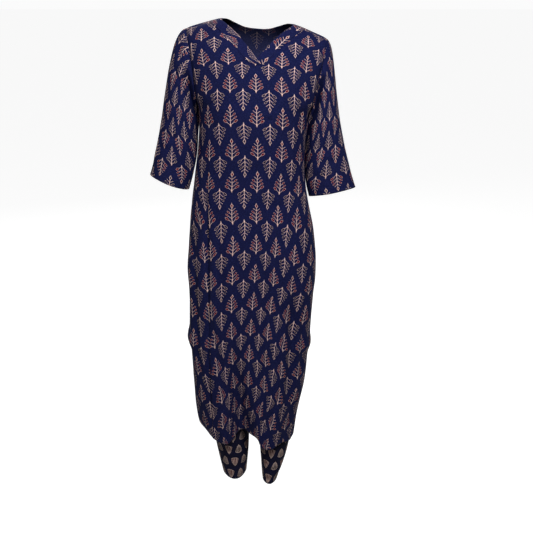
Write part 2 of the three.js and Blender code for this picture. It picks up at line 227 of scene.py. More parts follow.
def column_at(rows, column, place, key="z"):
    """A column of a table at the given places, on a smooth curve through its rows."""
    keys = rows[key]
    values = rows[column]
    slopes = np.empty_like(values)
    slopes[1:-1] = (values[2:] - values[:-2]) / (keys[2:] - keys[:-2])
    slopes[0] = (values[1] - values[0]) / (keys[1] - keys[0])
    slopes[-1] = (values[-1] - values[-2]) / (keys[-1] - keys[-2])
    low = np.clip(np.searchsorted(keys, place, side="right") - 1, 0, len(keys) - 2)
    span = keys[low + 1] - keys[low]
    t = np.clip((place - keys[low]) / span, 0, 1)
    start_share = (1 + 2 * t) * (1 - t) ** 2
    start_run = t * (1 - t) ** 2 * span
    end_run = t * t * (t - 1) * span
    ends = start_share * values[low] + (1 - start_share) * values[low + 1]
    return ends + start_run * slopes[low] + end_run * slopes[low + 1]


def points_of(x, y, z):
    return np.stack(np.broadcast_arrays(x, y, z), axis=-1).astype(float)


def lean(points):
    """The figure leans: the wearer's left side hangs lower, more at the shoulders than at the hem."""
    leaned = points.copy()
    leaned[..., 2] -= (lean_at_neck + lean_change * points[..., 2]) * points[..., 0]
    return leaned


def fold_depth(rows, x, z):
    """How far the folds push the cloth inwards at x, z."""
    depth = 0
    for top_x, top_z, low_x, low_z, top_width, low_width, deep, fade in zip(*rows.values()):
        along = np.clip((top_z - z) / (top_z - low_z), 0, None)
        across = (x - mix(top_x, low_x, along)) / mix(top_width, low_width, along)
        if fade > 0:
            grow = smooth_step(along / fade) * smooth_step((1 - along) / fade)
        else:
            grow = smooth_step(along)
        section = 0.5 * (1 + np.cos(np.pi * np.clip(across, -1, 1)))
        depth = depth + deep * grow * section
    return depth


def ridge_z(x):
    """Top line of the shoulder at x, measured from the middle of the neck."""
    out = np.maximum(np.abs(x) - neck_half, 0)
    return -(shoulder_slope * out + shoulder_curve * out * out)


def yoke_point(face, x, z, turn):
    """Cloth of the yoke: turn is the angle from the ridge, negative where the back runs over it."""
    in_front = (turn < 0) | (face == "front")
    square = column_at(body_outline, "square", z)
    across = np.clip(np.abs(x) / column_at(body_outline, "half", z), 0, 1)
    full = np.where(in_front, column_at(body_outline, "front", z), column_at(body_outline, "back", z))
    depth = full * (1 - across**square) ** (1 / square) * np.where(in_front, -1, 1)
    y = mix(shoulder_ridge_y, depth, np.sin(np.abs(turn)))
    return points_of(x + column_at(body_outline, "middle", z), y, z)


def turn_at(drop):
    """Angle from the ridge at which the cloth has dropped so far: a right angle below the round part."""
    return np.arccos(np.clip(1 - drop / shoulder_round, 0, 1))


def front_yoke_at(x, z):
    """Cloth of the front yoke straight from x and z."""
    return yoke_point("front", x, z, turn_at(ridge_z(x) - z))


def neck_bow_at(share):
    """How far the neckline bows up from a straight line between the V and the neck point."""
    inside = np.clip(share, 0, 1)
    return 4 * neck_bow * inside * (1 - inside)


def neck_edge_z(x):
    seam_drop = shoulder_round * (1 - math.cos(seam_turn))
    share = np.abs(x) / neck_half
    return neck_bow_at(share) - mix(neck_depth, seam_drop, share)


def column_end(face, x):
    """Where a column of the yoke ends: the angle from the ridge, and the share of its straight part."""
    in_neck = np.abs(x) < neck_half - 1e-6
    if face == "back":
        share = np.where(in_neck, 1 - (np.abs(x) / neck_half) ** 3, 0)
        return mix(-seam_turn, back_neck_turn, share), np.ones_like(x)
    drop = -neck_edge_z(x)
    straight = np.where(drop < shoulder_round, 1, (-drop - underarm_z) / (-shoulder_round - underarm_z))
    return np.where(in_neck, turn_at(drop), seam_turn), np.where(in_neck, straight, 1)


def column_share(u, up):
    """Share of the half width at which a column stands: crowded to the sides below, even on top."""
    along = np.abs(u)
    square = column_at(body_outline, "square", underarm_z)
    on_body = np.sin(along * 0.5 * np.pi) ** (2 / square)
    neck_share = neck_half / shoulder_half
    in_neck = along / neck_column * neck_share
    past_neck = mix(neck_share, 1, (along - neck_column) / (1 - neck_column))
    on_top = np.where(along < neck_column, in_neck, past_neck)
    return np.sign(u) * mix(on_body, on_top, smooth_step(up))


def place_on_run(face, x, up, crowding):
    """Height and angle on the yoke column that ends at x: a straight part, then the shoulder's arc."""
    end_turn, straight_share = column_end(face, x)
    straight = (ridge_z(x) - shoulder_round - underarm_z) * straight_share
    travelled = (straight + yoke_arc * (0.5 * np.pi - end_turn)) * up**crowding
    turn = 0.5 * np.pi - np.maximum(travelled - straight, 0) / yoke_arc
    return turn, np.minimum(travelled / straight, 1) * straight_share


def height_on_run(x, turn, straight):
    on_arc = ridge_z(x) - shoulder_round * (1 - np.cos(turn))
    return np.where(turn < 0.5 * np.pi, on_arc, mix(underarm_z, ridge_z(x) - shoulder_round, straight))


def yoke_column_point(face, u, up):
    """Cloth above the underarm: u runs from the wearer's right armhole to the left."""
    edge_x = np.full(np.shape(up), float(shoulder_half))
    edge_place = place_on_run(face, edge_x, up, 1 + edge_crowding)
    edge_half = column_at(armhole_edge, "half", height_on_run(edge_x, *edge_place))
    x = column_share(u, up) * edge_half
    crowding = 1 + edge_crowding * np.abs(u) ** 4
    turn, straight = place_on_run(face, column_share(u, 1) * shoulder_half, up, crowding)
    return yoke_point(face, x, height_on_run(x, turn, straight), turn)


def skirt_point(face, u, z, hem_share):
    """Cloth below the underarm, down to the slits and on to the hem."""
    angle = u * np.radians(90 - slit_opening[face] * smooth_step(hem_share))
    square = column_at(body_outline, "square", z)
    across = np.sign(angle) * np.abs(np.sin(angle)) ** (2 / square)
    depth = column_at(body_outline, face, z) * np.maximum(np.cos(angle), 0) ** (2 / square)
    x = column_at(body_outline, "half", z) * across + column_at(body_outline, "middle", z)
    inwards = fold_depth(folds[face], x, z) * smooth_step((1 - np.abs(u)) / fold_margin)
    y = np.maximum(depth - inwards, 0) - 0.5 * seam_overlap
    return points_of(x, -y if face == "front" else y, z)


def hem_height(face, u):
    edge_x = skirt_point(face, u, hem_z, 1)[..., 0]
    return hem_z + column_at(hem_edge[face], "rise", edge_x, key="x")


# The drape fold on the front, down the wearer's right: the inner cloth lies over the outer one in a
# soft lip, and the print jumps there. One column of the panel, drape_column, follows it.
drape_fold = table(
    "z x strength",
    [
        (-1250, -140, 0.1),
        (-1150, -139.5, 0.4),
        (-1060, -138, 1),
        (-700, -132, 1),
        (-560, -131, 0.8),
        (-420, -130, 0.35),
        (-330, -129, 0.1),
        (-225, -126, 0),
    ],
)
drape_column = 34
drape_share = -0.42
drape_lip = 3
drape_drop = 5
drape_reach = 28
under_lip = 2.2
under_reach = 9


def column_places(face):
    """Shares of the half width at which the columns stand, one of them on the front's drape fold."""
    if face == "back":
        return np.linspace(-1, 1, panel_columns + 1)
    outer = np.linspace(-1, drape_share, drape_column + 1)
    return np.concatenate([outer[:-1], np.linspace(drape_share, 1, panel_columns + 1 - drape_column)])


def along_drape_fold(face, u, z):
    """Moves the front's columns sideways so that the same one follows the drape fold."""
    if face == "back":
        return u + 0 * z
    half = column_at(body_outline, "half", z)
    across = (column_at(body_outline, "middle", z) - column_at(drape_fold, "x", z)) / half
    fold_u = -np.arcsin(across ** (column_at(body_outline, "square", z) / 2)) / (0.5 * np.pi)
    place = u[:, drape_column : drape_column + 1]
    outer = -1 + (u + 1) * (fold_u + 1) / (place + 1)
    inner = 1 - (1 - u) * (1 - fold_u) / (1 - place)
    return np.where(u < place, outer, inner)


def kurti_panel(face):
    """Points of a whole panel, row by row from the hem to the shoulders, and their columns' shares."""
    u = column_places(face)[None, :]
    hem_share = np.linspace(1, 0, hem_rows + 1)[:-1, None]
    hem_u = along_drape_fold(face, u, mix(slit_z, hem_z, hem_share))
    below = skirt_point(face, hem_u, mix(slit_z, hem_height(face, hem_u), hem_share), hem_share)
    heights = np.linspace(slit_z, underarm_z, waist_rows + 1)[:-1, None]
    waist_u = along_drape_fold(face, u, heights)
    middle = skirt_point(face, waist_u, heights, 0)
    up = np.linspace(0, 1, yoke_rows + 1)[:, None]
    yoke_u = along_drape_fold(face, u, underarm_z + 0 * up)
    above = yoke_column_point(face, yoke_u, up)
    if face == "back":
        above[-1, :, 1] -= seam_overlap
    return np.concatenate([below, middle, above]), np.concatenate([hem_u, waist_u, yoke_u])


def flat_cloth(points, shares=None):
    """Place of each point on the flat cloth: across from the middle, and up its column."""
    along = np.linalg.norm(np.diff(points, axis=0), axis=-1)
    along = np.concatenate([np.zeros((1, points.shape[1])), np.cumsum(along, axis=0)])
    across = np.linalg.norm(np.diff(points, axis=1), axis=-1)
    across = np.concatenate([np.zeros((points.shape[0], 1)), np.cumsum(across, axis=1)], axis=1)
    if shares is None:
        middle = across[:, points.shape[1] // 2]
    else:
        middle = np.array([np.interp(0, share, row) for share, row in zip(shares, across)])
    return np.stack([across - middle[:, None], along], axis=-1)


def section_run(face, x, z, steps=40):
    """Length of cloth across the body from its middle to x, on the level at z."""
    half = column_at(body_outline, "half", z)
    square = column_at(body_outline, "square", z)
    reach = np.clip((x - column_at(body_outline, "middle", z)) / half, -1, 1)
    part = np.linspace(0, 1, steps + 1)[:, None, None] * np.abs(reach)
    depth = column_at(body_outline, face, z) * (1 - part**square) ** (1 / square)
    run = np.hypot(np.diff(part, axis=0) * half, np.diff(depth, axis=0))
    return np.sign(reach) * run.sum(axis=0)


def to_sides(u):
    """Distance across the cloth to its nearer side."""
    return np.minimum(u - u[:, :1], u[:, -1:] - u)


def pushed_out(points, push, right_handed):
    """The cloth moved away from the body.

    It is right_handed where, seen from outside, columns run right and rows run up, or both the
    other way.
    """
    normal = np.cross(np.gradient(points, axis=1), np.gradient(points, axis=0))
    normal /= np.linalg.norm(normal, axis=-1, keepdims=True) + 1e-9
    return points + (normal if right_handed else -normal) * np.asarray(push)[..., None]


def dip(distance, width):
    """A soft dip along a line: 1 on it, and next to nothing at twice its width."""
    return np.exp(-((distance / width) ** 2))


crease_columns = "u1 v1 u2 v2 width depth"


def crease_depth(rows, u, v):
    """How far soft creases sink into the cloth at u, v: each runs from one end to the other and fades."""
    sunk = 0
    for u1, v1, u2, v2, width, depth in zip(*rows.values()):
        run_u = u2 - u1
        run_v = v2 - v1
        share = np.clip(((u - u1) * run_u + (v - v1) * run_v) / (run_u**2 + run_v**2), 0, 1)
        off_u = u - u1 - share * run_u
        off_v = v - v1 - share * run_v
        wander = 0.5 * width * np.sin(5 * share + 0.05 * u1) * share * (1 - share)
        aside = (off_u * run_v - off_v * run_u) / math.hypot(run_u, run_v) + wander
        past_end = np.maximum(np.hypot(off_u, off_v) / width - 2, 0)
        fade = (4 * share * (1 - share)) ** 0.8
        sunk = sunk + depth * fade * dip(aside, width) * np.exp(-past_end)
    return sunk


def slack(u, v, height):
    """Shallow unevenness of worn cotton: low waves, 7 to 38 cm long, that cross each other."""
    waves = np.sin(u / 23 + 0.9 * np.sin(v / 61)) * np.sin(v / 47 + 1.3 * np.sin(u / 39))
    return height * (waves + 0.5 * np.sin(u / 11 + v / 29) * np.sin(v / 19 - u / 31))


def cloth_mesh(name, points, maps, right_handed, finish):
    """A piece of cloth from a grid of points, with its maps and its right and wrong sides."""
    rows, columns = points.shape[:2]
    panel = bmesh.new()
    bmesh.ops.create_grid(panel, x_segments=columns - 1, y_segments=rows - 1, size=1)
    layers = {panel.loops.layers.uv.new(title): spread.tolist() for title, spread in maps.items()}
    place = {}
    for vertex in panel.verts:
        row = round((vertex.co.y + 1) / 2 * (rows - 1))
        column = round((vertex.co.x + 1) / 2 * (columns - 1))
        place[vertex] = (row, column)
    for face in panel.faces:
        face.smooth = True
        for loop in face.loops:
            row, column = place[loop.vert]
            for layer, spread in layers.items():
                loop[layer].uv = spread[row][column]
    for vertex, spot in place.items():
        vertex.co = Vector(points[spot]) / 1000
    bmesh.ops.remove_doubles(panel, verts=panel.verts, dist=1e-6)
    if not right_handed:
        bmesh.ops.reverse_faces(panel, faces=panel.faces)
    mesh = bpy.data.meshes.new(f"{name}_cloth")
    panel.to_mesh(mesh)
    panel.free()
    for material in finish:
        mesh.materials.append(material)
    piece = bpy.data.objects.new(f"{name}_cloth", mesh)
    bpy.context.scene.collection.objects.link(piece)
    thickness = piece.modifiers.new("cloth thickness", "SOLIDIFY")
    thickness.thickness = cloth_thickness / 1000
    thickness.offset = -1
    thickness.use_even_offset = False
    thickness.material_offset = 1
    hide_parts(name)
    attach(piece, "root")
    return piece


def cloth_area(points):
    """Area of a grid of points, in square metres."""
    right = points[:-1, 1:] - points[:-1, :-1]
    up = points[1:, :-1] - points[:-1, :-1]
    return np.linalg.norm(np.cross(right, up), axis=-1).sum() / 1e6


class Shade:
    """A shader socket that adds its own Math nodes, so that shading is written as sums."""

    def __init__(self, tree, socket=None):
        self.tree = tree
        self.socket = socket

    def node(self, kind, settings, sockets, output=0):
        """Adds a node: its settings first, then the values or links of its sockets."""
        made = self.tree.nodes.new(kind)
        for name, value in settings.items():
            setattr(made, name, value)
        for name, value in sockets.items():
            if isinstance(value, Shade):
                self.tree.links.new(value.socket, made.inputs[name])
            else:
                made.inputs[name].default_value = value
        return Shade(self.tree, made.outputs[output])

    def maths(self, operation, *values, clamp=False):
        settings = {"operation": operation, "use_clamp": clamp}
        return self.node("ShaderNodeMath", settings, dict(enumerate(values)))

    def __add__(self, other):
        return self.maths("ADD", self, other)

    def __sub__(self, other):
        return self.maths("SUBTRACT", self, other)

    def __rsub__(self, other):
        return self.maths("SUBTRACT", other, self)

    def __mul__(self, other):
        return self.maths("MULTIPLY", self, other)

    __radd__ = __add__
    __rmul__ = __mul__

    def __truediv__(self, other):
        return self.maths("DIVIDE", self, other)

    def __pow__(self, other):
        return self.maths("POWER", self, other)

    def __lt__(self, other):
        return self.maths("LESS_THAN", self, other)

    def __gt__(self, other):
        return self.maths("GREATER_THAN", self, other)

    def __abs__(self):
        return self.maths("ABSOLUTE", self)

    def __round__(self):
        return self.maths("ROUND", self)

    def __floor__(self):
        return self.maths("FLOOR", self)

    def sign(self):
        return self.maths("SIGN", self)

    def pingpong(self, length):
        """Runs up to the length and back down again, over and over."""
        return self.maths("PINGPONG", self, length)

    def highest(self, other):
        return self.maths("MAXIMUM", self, other)

    def lowest(self, other):
        return self.maths("MINIMUM", self, other)

    def mask(self, sharpness=1, level=0.5):
        """From 0 to 1 as the value rises; the level is the mask where the value is nought."""
        return self.maths("MULTIPLY_ADD", self, sharpness, level, clamp=True)

    def map_place(self, title):
        """The two numbers of one of the piece's own maps."""
        place = self.node("ShaderNodeUVMap", {"uv_map": title}, {})
        return [self.node("ShaderNodeSeparateXYZ", {}, {0: place}, output) for output in (0, 1)]

    def noise(self, u, v, size, detail=2):
        """Cloudy noise from 0 to 1 on a map, in spots of about the given size in millimetres."""
        place = self.node("ShaderNodeCombineXYZ", {}, {0: u / size[0], 1: v / size[1]})
        sockets = {"Vector": place, "Scale": 1.0, "Detail": detail}
        return self.node("ShaderNodeTexNoise", {"noise_dimensions": "2D"}, sockets)

    def blend(self, first, second):
        """The first colour, turned into the second one where this mask is 1."""
        first, second = [side if isinstance(side, Shade) else (*side, 1) for side in (first, second)]
        return self.node("ShaderNodeMix", {"data_type": "RGBA"}, {0: self, 6: first, 7: second}, 2)


# The print repeats every 65 mm across and 85 mm up: a leaf spray, and between four of them the same
# spray turned upside down. It has pairs of twigs on a stem, a leaf on each of the lower twigs, and a
# bud on top. Sizes are in millimetres on the flat cloth, from the middle of the spray.
spray_across = 65
spray_up = 85
turned_drop = 6
spray_wobble = (1.3, 1.1)
twig_angle = math.radians(38)
twig_foot = -25
twig_pitch = 10
twig_count = 4
twig_length = 22.7
twig_shortening = 1.7
crown_rounding = 0.7
twig_half = 0.38
leafy_count = 3
leaf_stalk_end = 7.5
leaf_length = 4.4
leaf_width = 2.1
lowest_leaf_longer = 1.3
lowest_leaf_wider = 0.7
leaf_heart = 0.76
stem_half = 0.5
stem_taper = 0.01
stem_reach = 28
stem_middle = -1
foot_low = -30.5
foot_top = -23
foot_slope = 0.3
bud_middle = 18.8
bud_half = 3.9
bud_height = 7
bud_heart = 0.7


def leaf_spray(x, y):
    """Ink and leaf hearts of one spray: x is the distance from its stem, y the height on it."""
    order = round((y - x * math.tan(twig_angle) - twig_foot) / twig_pitch)
    order = order.highest(0).lowest(twig_count - 1)
    above = y - order * twig_pitch - twig_foot
    along = x * math.cos(twig_angle) + above * math.sin(twig_angle)
    aside = abs(above * math.cos(twig_angle) - x * math.sin(twig_angle))
    length = twig_length - order * (order * crown_rounding + twig_shortening)
    leafy = order < leafy_count - 0.5
    lowest = order < 0.5
    half = lowest * lowest_leaf_longer + leaf_length
    leaf_along = (along - length + half) / half
    leaf_aside = aside / (lowest * lowest_leaf_wider + leaf_width)
    leaf_place = leaf_along * leaf_along + leaf_aside * leaf_aside
    leaf = (1 - leaf_place).mask(3) * leafy
    twig = (twig_half - aside).mask(2) * (along < length - leafy * leaf_stalk_end)
    stem = (stem_half - y * stem_taper - x).mask(2) * (abs(y - stem_middle) < stem_reach)
    foot = ((y - foot_low) * foot_slope - x).mask(1.4) * (y < foot_top)
    bud_place = x / bud_half + abs(y - bud_middle) / bud_height
    bud = (1 - bud_place).mask(4)
    hearts = ((leaf_heart - leaf_place).mask(6) * leafy).highest((bud_heart - bud_place).mask(6))
    ink = twig.highest(stem).highest(leaf).highest(foot).highest(bud)
    return ink * (1 - hearts), hearts


# The cotton: yarn of 0.55 mm with thicker slubs, and a running line of small stitches at the hems. The
# print soaks through faintly to the wrong side. A tint is a factor and what is added to the colour, and
# relief is in millimetres before the bump's own strength.
yarn_size = (0.55, 14)
slub_size = (1.6, 6)
dye_cloud = (90, 90)
print_edge = (5, 5)
print_speckle = (1.6, 1.6)
soft_lumps = (34, 26)
stitch_half = 0.4
stitch_pitch = 1.7
stitch_length = 1.25
stitch_groove = 1.1
soaked_through = 0.3
faded_tint = (0.72, 0)
yarn_tint = (1.3, 0.001)
slub_tint = (2.4, 0.002)
thread_tint = (1.6, 0.01)
slub_level = 0.6
cotton_rough = 0.86
weave_relief = 0.16
lump_relief = 0.5
thread_relief = 0.3
hem_relief = 0.35


def tinted(colour, times, more):
    return [times * part + more for part in colour]


def cotton(title, ground, print_colours, wrong_side, printed):
    """Plain-woven printed cotton: the print, uneven dye, slubs in the yarn, and a line of stitches."""
    material = bpy.data.materials.new(title)
    material.use_nodes = True
    tree = material.node_tree
    shader = tree.nodes["Principled BSDF"]
    start = Shade(tree)
    u, v = [place * 1000 for place in start.map_place("cloth")]
    past_stitch, along_edge = [place * 1000 for place in start.map_place("hem")]
    weave = (start.noise(u, v, yarn_size) + start.noise(u + 40, v, yarn_size[::-1])) * 0.5
    slubs = start.noise(u + 20, v, slub_size, 1).highest(start.noise(u, v + 20, slub_size[::-1], 1))
    faded = start.noise(u, v, dye_cloud, 3).mask(1.2, -0.35)
    dye = faded.blend(ground, tinted(ground, *faded_tint))
    dye = ((weave - 0.5).mask(2.2) * 0.5).blend(dye, tinted(ground, *yarn_tint))
    dye = ((slubs - slub_level).mask(6) * 0.5).blend(dye, tinted(ground, *slub_tint))

    ink, hearts, heart_choice = printed(start, start.noise(u, v, print_edge, 1))
    hold = start.noise(u + 90, v, print_speckle).mask(1.4, 0.22) * (soaked_through if wrong_side else 1)
    inked = (ink * hold).blend(dye, print_colours[0])
    inked = (hearts * hold * 0.9).blend(inked, heart_choice.blend(print_colours[1], print_colours[2]))
    thread = (stitch_half - abs(past_stitch)).mask(3) * (along_edge.pingpong(stitch_pitch) < stitch_length)
    inked = (thread * 0.8).blend(inked, tinted(ground, *thread_tint))
    tree.links.new(inked.socket, shader.inputs["Base Color"])

    rough = cotton_rough - ink * 0.05 + (weave - 0.5) * 0.2
    tree.links.new(rough.socket, shader.inputs["Roughness"])
    shader.inputs["Specular IOR Level"].default_value = 0.04
    groove = (stitch_groove - abs(past_stitch)).mask()
    height = weave * weave_relief + start.noise(u, v, soft_lumps) * lump_relief
    height = height + thread * thread_relief + ((past_stitch < 0) - groove) * hem_relief
    bump = start.node("ShaderNodeBump", {}, {"Height": height, "Distance": 0.001, "Strength": 0.6})
    tree.links.new(bump.socket, shader.inputs["Normal"])
    return material


def spray_print(start, wobble):
    """Sprays over the whole cloth; every other one is upside down and has no dark red hearts."""
    across, up = start.map_place("print")
    x = abs(across - round(across)) * spray_across + (wobble - 0.5) * spray_wobble[0]
    y = (up - round(up)) * spray_up + (wobble - 0.5) * spray_wobble[1]
    turned = (x / (spray_across / 2) + abs(y) / (spray_up / 2)) > 1
    x = abs(x + (spray_across / 2 - 2 * x) * turned)
    y = y + (y.sign() * (spray_up / 2) - turned_drop - 2 * y) * turned
    ink, hearts = leaf_spray(x, y)
    return ink, hearts, 1 - turned


navy = (0.0046, 0.0061, 0.0335)
spray_colours = [(0.80, 0.56, 0.48), (0.026, 0.022, 0.034), (0.15, 0.007, 0.011)]
kurti_cotton = [
    cotton("kurti cotton", navy, spray_colours, False, spray_print),
    cotton("kurti cotton wrong side", (0.014, 0.016, 0.05), spray_colours, True, spray_print),
]

# How the print hangs on the front: the height of each row on its middle column, where that column
# lies, how far apart the columns are to the right and left, how low the rows sag two columns out, and
# how much cloth the drape fold takes in.
print_hang = table(
    "v row middle right left sag tuck",
    [
        (-1238, 15, -6, 47, 50, 60, 50),
        (-1070, 13, -4, 47, 50, 58, 50),
        (-901, 11, 0, 51, 48, 50, 47),
        (-737, 9, 6, 60, 52, 36, 46),
        (-569, 7, 12, 64, 54, 29, 34),
        (-483, 6, 16, 66, 58, 14, 17),
        (-397, 5, 19, 67, 62, 15, 3),
        (-308, 4, 15, 67, 65, 18, 0),
        (-224, 3, 8, 68, 68, 15, 0),
        (-142, 2, 1, 66, 65, 13, 0),
        (-82, 1, -3, 69, 67, 5, 0),
        (-22, 0, -4, 70, 68, 2, 0),
        (38, -1, -4, 70, 68, 0, 0),
    ],
)
outer_column = 61
sag_end = 2.3
sag_power = 1.7
back_across = 63
back_up = 84
back_sag = 0.0009


def front_print(u, v):
    """Columns and rows of the print on the front, as it hangs."""
    titles = ("middle", "right", "left", "sag")
    hang = {title: column_at(print_hang, title, v, key="v") for title in titles}
    out = u - hang["middle"]
    width = np.where(out < 0, hang["right"], hang["left"])
    columns = np.sign(out) * np.minimum(np.abs(out) / width, 2)
    columns += np.sign(out) * np.maximum(np.abs(out) - 2 * width, 0) / outer_column
    lifted = v + hang["sag"] * (np.minimum(np.abs(columns), sag_end) / 2) ** sag_power
    return np.stack([columns, -column_at(print_hang, "row", lifted, key="v")], axis=-1)


def back_print(u, v):
    """The back hangs straight, and its rows only sag a little at the sides."""
    sag = back_sag * u * u * smooth_step((-250 - v) / 500)
    return np.stack([u / back_across + 0.5, (v + sag) / back_up], axis=-1)


hem_stitch = 17
slit_stitch = 11
neck_stitch = 7
no_stitch = 200


def panel_hem(face, place):
    """Distance past the line of stitches at the hem, the slits and the back neck, and the way along."""
    across, up = place[..., 0], place[..., 1]
    in_slit = np.arange(len(place))[:, None] < hem_rows
    past = np.minimum(up - hem_stitch, np.where(in_slit, to_sides(across) - slit_stitch, no_stitch))
    if face == "back":
        in_neck = np.abs(column_places(face)) < neck_column
        past = np.minimum(past, np.where(in_neck, up[-1:] - up - neck_stitch, no_stitch))
    return np.stack([past, across + up], axis=-1)


kurti_creases = {
    "front": table(
        crease_columns,
        [
            (-148, -228, -84, -188, 8, 3.1),
            (-150, -262, -66, -268, 12, 2.2),
            (148, -232, 88, -186, 8, 3.7),
            (140, -196, 138, -262, 4.5, 4.1),
            (22, -233, 58, -235, 4.5, 3.4),
            (-122, -52, -158, -128, 13, 2.2),
            (118, -50, 152, -120, 13, 2.4),
            (-40, -104, 34, -112, 6, 1.7),
            (-96, -428, 16, -448, 12, 1.9),
            (24, -470, 118, -452, 12, 2.2),
            (-70, -372, 60, -366, 14, 1.5),
            (66, -512, 82, -880, 15, 5.3),
            (96, -560, 92, -760, 10, -3.6),
            (30, -620, 28, -1010, 15, 4.6),
            (126, -640, 128, -1130, 12, 5.9),
            (-92, -480, -88, -820, 13, 4.6),
            (-64, -560, -62, -800, 12, -3.2),
            (-176, -560, -160, -1040, 9, 5.9),
            (-196, -600, -190, -980, 9, -3.6),
            (-116, -800, -82, -990, 11, 5),
            (0, -800, -42, -1010, 12, 5.5),
            (62, -900, 16, -1110, 12, 5),
            (104, -980, 74, -1180, 10, 4.6),
            (-30, -560, -58, -780, 15, 3.2),
            (160, -700, 168, -1040, 9, 5),
        ],
    ),
    "back": table(
        crease_columns,
        [
            (-150, -232, -70, -196, 9, 4.6),
            (150, -230, 74, -190, 9, 5),
            (-120, -50, -150, -140, 14, 3.2),
            (120, -50, 150, -150, 14, 3.2),
            (-84, -352, 70, -368, 12, 4.2),
            (-60, -396, 92, -388, 12, 5),
            (-100, -436, 40, -428, 12, 4.2),
            (-20, -470, 110, -478, 13, 3.2),
            (0, -120, 4, -330, 16, 3.6),
            (-60, -540, -66, -900, 15, 5.5),
            (64, -560, 70, -1000, 15, 5.9),
            (8, -660, -6, -1160, 14, 5.5),
            (-120, -620, -118, -1140, 12, 5.9),
            (124, -640, 118, -1150, 12, 5.5),
            (-170, -560, -160, -1060, 9, 5.5),
            (172, -580, 164, -1080, 9, 5.5),
            (-30, -900, -52, -1180, 11, -4.2),
            (34, -860, 50, -1180, 11, -4.2),
            (96, -900, 78, -1160, 10, 4.6),
            (-92, -940, -84, -1180, 10, 4.6),
        ],
    ),
}
kurti_slack = 0.5
seam_dip = 1.1
seam_width = 5
hem_ripple = 1.6
ripple_reach = 45
ripple_margin = 30


def worn_panel(face, points, place, v):
    """The panel with its creases, the dips along its seams, a rippled hem and the drape fold."""
    u, up = place[..., 0], place[..., 1]
    push = slack(u, v, kurti_slack) - crease_depth(kurti_creases[face], u, v)
    sewn = np.arange(len(place))[:, None] >= hem_rows
    push = push - np.where(sewn, seam_dip * dip(to_sides(u), seam_width), 0)
    shoulder = np.abs(column_places(face)) >= neck_column
    push = push - np.where(shoulder, 0.5 * seam_dip * dip(up[-1:] - up, seam_width), 0)
    ripple = np.sin(u / 12.5 + 0.7 * np.sin(u / 31)) * np.exp(-up / ripple_reach)
    push = push + hem_ripple * ripple * smooth_step(to_sides(u) / ripple_margin)
    if face == "front":
        strength = column_at(drape_fold, "strength", v)
        aside = u - u[:, drape_column : drape_column + 1]
        under = aside < -1e-6
        lip = drape_lip * np.exp(-aside / drape_reach)
        drop = -drape_drop * np.exp(aside / drape_reach)
        push = push + strength * np.where(under, drop, lip)
        tucked = under_lip * np.exp(np.minimum(aside, 0) / under_reach)
        points = points + points_of(strength * np.where(under, tucked, 0), 0, 0)
    return pushed_out(points, push, face == "front")


kurti_flat = {"front": (0.52, 1.27), "back": (0.52, 1.30)}
underarm_row = hem_rows + waist_rows
for face in ("front", "back"):
    bare, shares = kurti_panel(face)
    points = lean(bare)
    place = flat_cloth(points, shares)
    in_yoke = np.arange(len(points))[:, None] > underarm_row
    u = np.where(in_yoke, section_run(face, bare[..., 0], bare[..., 2]), place[..., 0])
    above_underarm = place[..., 1] - place[underarm_row : underarm_row + 1, :, 1]
    v = np.where(in_yoke, above_underarm + underarm_z, bare[..., 2])
    if face == "front":
        under_fold = np.arange(points.shape[1])[None, :] < drape_column
        shift = np.where(under_fold, column_at(print_hang, "tuck", v, key="v"), 0)
        print_map = front_print(u - shift, v)
    else:
        print_map = back_print(u, v)
    maps = {
        "cloth": np.stack([u, v], axis=-1) / 1000,
        "print": print_map,
        "hem": panel_hem(face, place) / 1000,
    }
    worn = worn_panel(face, points, place, v)
    piece = cloth_mesh(f"kurti_{face}", worn, maps, face == "front", kurti_cotton)
    kurti_flat[face]
    cloth_area(points)

# Neck bands: two doubled strips of the same cotton along the V, sewn on the front, the wearer's
# right one crossing over the left one below the point of the V.
band_on_seam = 27
band_below_v = 34
over_band_drop = 12
band_lift = 0.7
band_thickness = 1.6
band_slack = 0.25
band_stitch = 2.6
band_print = {
    "neckband_right": {"across": 0, "from_v": 26, "up": 1, "turned": 0.5},
    "neckband_left": {"across": 20, "from_v": 80, "up": -1, "turned": 0},
}
band_creases = table(
    crease_columns,
    [
        (-46, 4, -20, 22, 5, 0.8),
        (2, 20, 26, 3, 5, 0.9),
        (44, 4, 62, 24, 6, 0.8),
        (-12, 12, 20, 14, 4, -0.6),
    ],
)


def neck_band(side, steps=90, width_steps=12):
    """Points of a band from the shoulder seam down to the V, from its neck edge outwards."""
    edge_slope = (neck_depth + neck_edge_z(neck_half)) / neck_half
    width = np.linspace(0, 1, width_steps + 1)[:, None]
    seam_x = neck_half + band_on_seam * width
    seam_drop = shoulder_round * (1 - math.cos(seam_turn)) - 0.5 * seam_overlap
    seam_z = ridge_z(seam_x) - seam_drop
    middle_z = -neck_depth - band_below_v * width
    slope = (seam_z - middle_z) / seam_x
    over_end = (-neck_depth - over_band_drop - middle_z) / slope
    under_end = band_below_v * width / (slope + edge_slope) - 2 * seam_overlap
    end_x = over_end if side < 0 else under_end
    x = mix(seam_x, end_x, np.linspace(0, 1, steps + 1)[None, :])
    points = front_yoke_at(side * x, middle_z + slope * x + neck_bow_at(x / seam_x))
    return lean(pushed_out(points, cloth_thickness + band_lift, side > 0))


